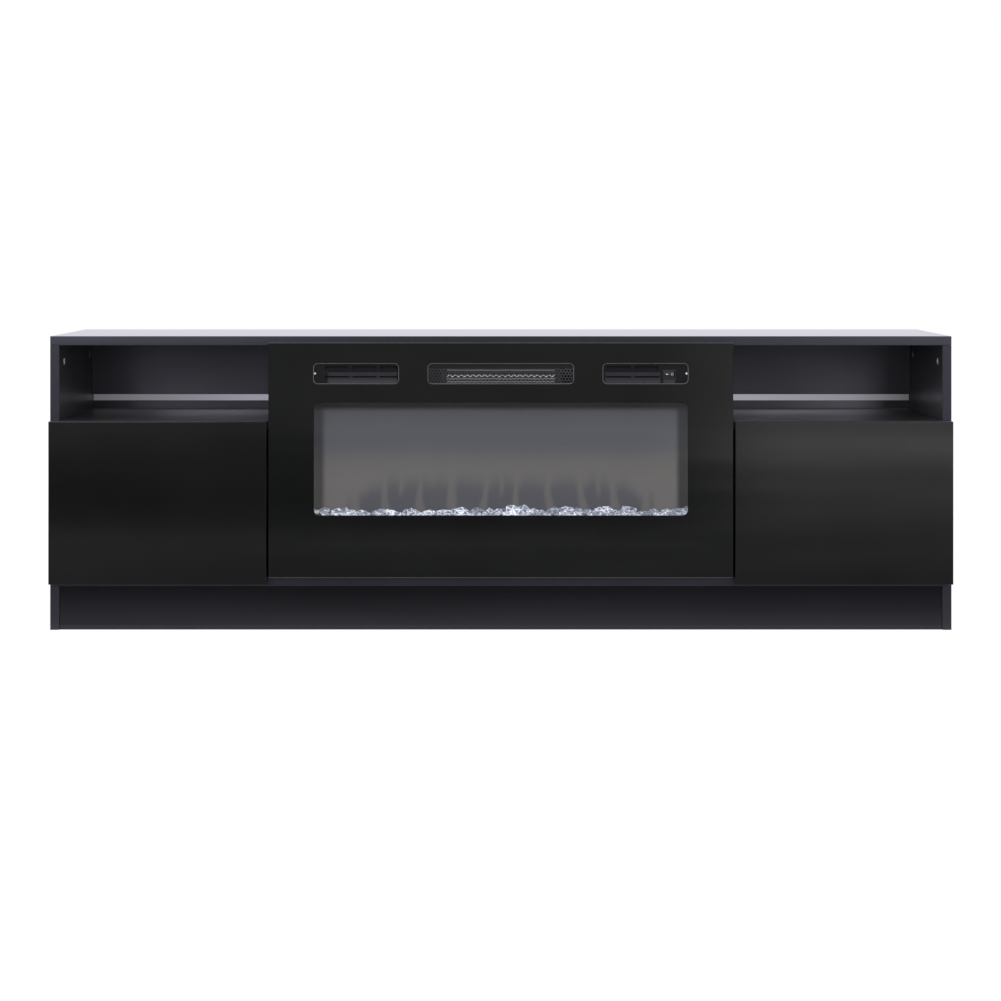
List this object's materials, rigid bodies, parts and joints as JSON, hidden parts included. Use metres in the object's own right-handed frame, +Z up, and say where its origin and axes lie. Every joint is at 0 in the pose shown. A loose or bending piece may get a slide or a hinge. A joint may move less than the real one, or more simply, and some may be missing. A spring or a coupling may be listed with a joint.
{
  "type": "fireplace tv stand",
  "caption": "Low gloss black media cabinet with a glass-fronted electric fireplace in the middle, an open niche over a cupboard at each end, and a plinth base.",
  "frame": {"origin": "on the floor, under the middle of the stand's bounding box", "axes": "+X to the right as seen from the front, +Y to the back, +Z up; the doors and the glass face -Y"},
  "size_m": [1.78, 0.4006, 0.58],
  "materials": {
    "gloss_board": "black high-gloss board",
    "gloss_door": "black high-gloss lacquer with softened edges",
    "plain_board": "black satin melamine",
    "plated_steel": "nickel plated",
    "black_steel": "black powder coat",
    "black_plastic": "fine satin",
    "black_print": "black print on the back of the glass",
    "front_glass": "clear tempered",
    "crystal": "clear and frosted chips",
    "frosted_screen": "frosted, lit from behind",
    "heater_ribbon": "bright resistance ribbon",
    "aluminium": "mill",
    "led_board": "printed circuit board"
  },
  "bodies": {
    "root": {"top_panel": "gloss_board", "left_side_panel": "gloss_board", "right_side_panel": "gloss_board", "bottom_panel": "gloss_board", "left_partition": "gloss_board", "right_partition": "gloss_board", "left_niche_shelf": "gloss_board", "right_niche_shelf": "gloss_board", "plinth_front": "gloss_board", "plinth_rear": "plain_board", "left_plinth_brace": "plain_board", "right_plinth_brace": "plain_board", "left_upper_back": "plain_board", "right_upper_back": "plain_board", "left_lower_back": "plain_board", "right_lower_back": "plain_board", "rear_rail": "plain_board", "left_hinge_arm_lower": "plated_steel", "left_hinge_arm_upper": "plated_steel", "right_hinge_arm_lower": "plated_steel", "right_hinge_arm_upper": "plated_steel", "left_push_latch": "black_plastic", "right_push_latch": "black_plastic", "left_cam_lock_front": "plated_steel", "left_cam_lock_rear": "plated_steel", "right_cam_lock_front": "plated_steel", "right_cam_lock_rear": "plated_steel", "insert_housing": "black_steel", "front_pan": "black_steel", "front_glass": "front_glass", "glass_border": "black_print", "louvre_screw_left": "plated_steel", "louvre_screw_right": "plated_steel", "outlet_mesh": "black_steel", "switch_bezel": "black_plastic", "firebox_baffle": "black_steel", "heater_duct": "plated_steel", "heater_element": "heater_ribbon", "blower_scroll": "plated_steel", "blower_motor": "black_steel", "crystal_tray": "black_steel", "crystal_bed": "crystal", "flame_screen": "frosted_screen", "flame_cutout": "aluminium", "flame_motor": "black_steel", "led_strip": "led_board", "control_board": "led_board", "cord_gland": "black_plastic"},
    "left_door_leaf": {"left_door": "gloss_door", "left_hinge_cup_lower": "plated_steel", "left_hinge_cup_upper": "plated_steel"},
    "right_door_leaf": {"right_door": "gloss_door", "right_hinge_cup_lower": "plated_steel", "right_hinge_cup_upper": "plated_steel"},
    "left_plunger": {"left_latch_plunger": "black_plastic"},
    "right_plunger": {"right_latch_plunger": "black_plastic"},
    "switch": {"switch_rocker": "black_plastic"},
    "blower_wheel": {"blower_rotor": "aluminium"},
    "flame_spindle": {"flame_rotor": "aluminium"}
  },
  "joints": [
    {"name": "left_door_swing", "type": "hinge", "parent": "root", "child": "left_door_leaf", "pos_m": [-0.882, -0.192, 0.2525], "axis": [0, 0, -1], "range_deg": [0, 95]},
    {"name": "right_door_swing", "type": "hinge", "parent": "root", "child": "right_door_leaf", "pos_m": [0.882, -0.192, 0.2525], "axis": [0, 0, 1], "range_deg": [0, 95]},
    {"name": "left_latch_travel", "type": "slide", "parent": "root", "child": "left_plunger", "axis": [0, -1, 0], "range_m": [0, 0.01]},
    {"name": "right_latch_travel", "type": "slide", "parent": "root", "child": "right_plunger", "axis": [0, -1, 0], "range_m": [0, 0.01]},
    {"name": "switch_rock", "type": "hinge", "parent": "root", "child": "switch", "pos_m": [0.3315, -0.1942, 0.5058], "axis": [0, 0, 1], "range_deg": [0, 20]},
    {"name": "blower_spin", "type": "hinge", "parent": "root", "child": "blower_wheel", "pos_m": [0, -0.1249, 0.5093], "axis": [1, 0, 0], "continuous": true},
    {"name": "flame_spin", "type": "hinge", "parent": "root", "child": "flame_spindle", "pos_m": [0, -0.077, 0.1912], "axis": [1, 0, 0], "continuous": true}
  ],
  "couplings": [
    {"joint": "left_latch_travel", "follows": "left_door_swing", "m_per_rad": 0.006},
    {"joint": "right_latch_travel", "follows": "right_door_swing", "m_per_rad": 0.006}
  ]
}
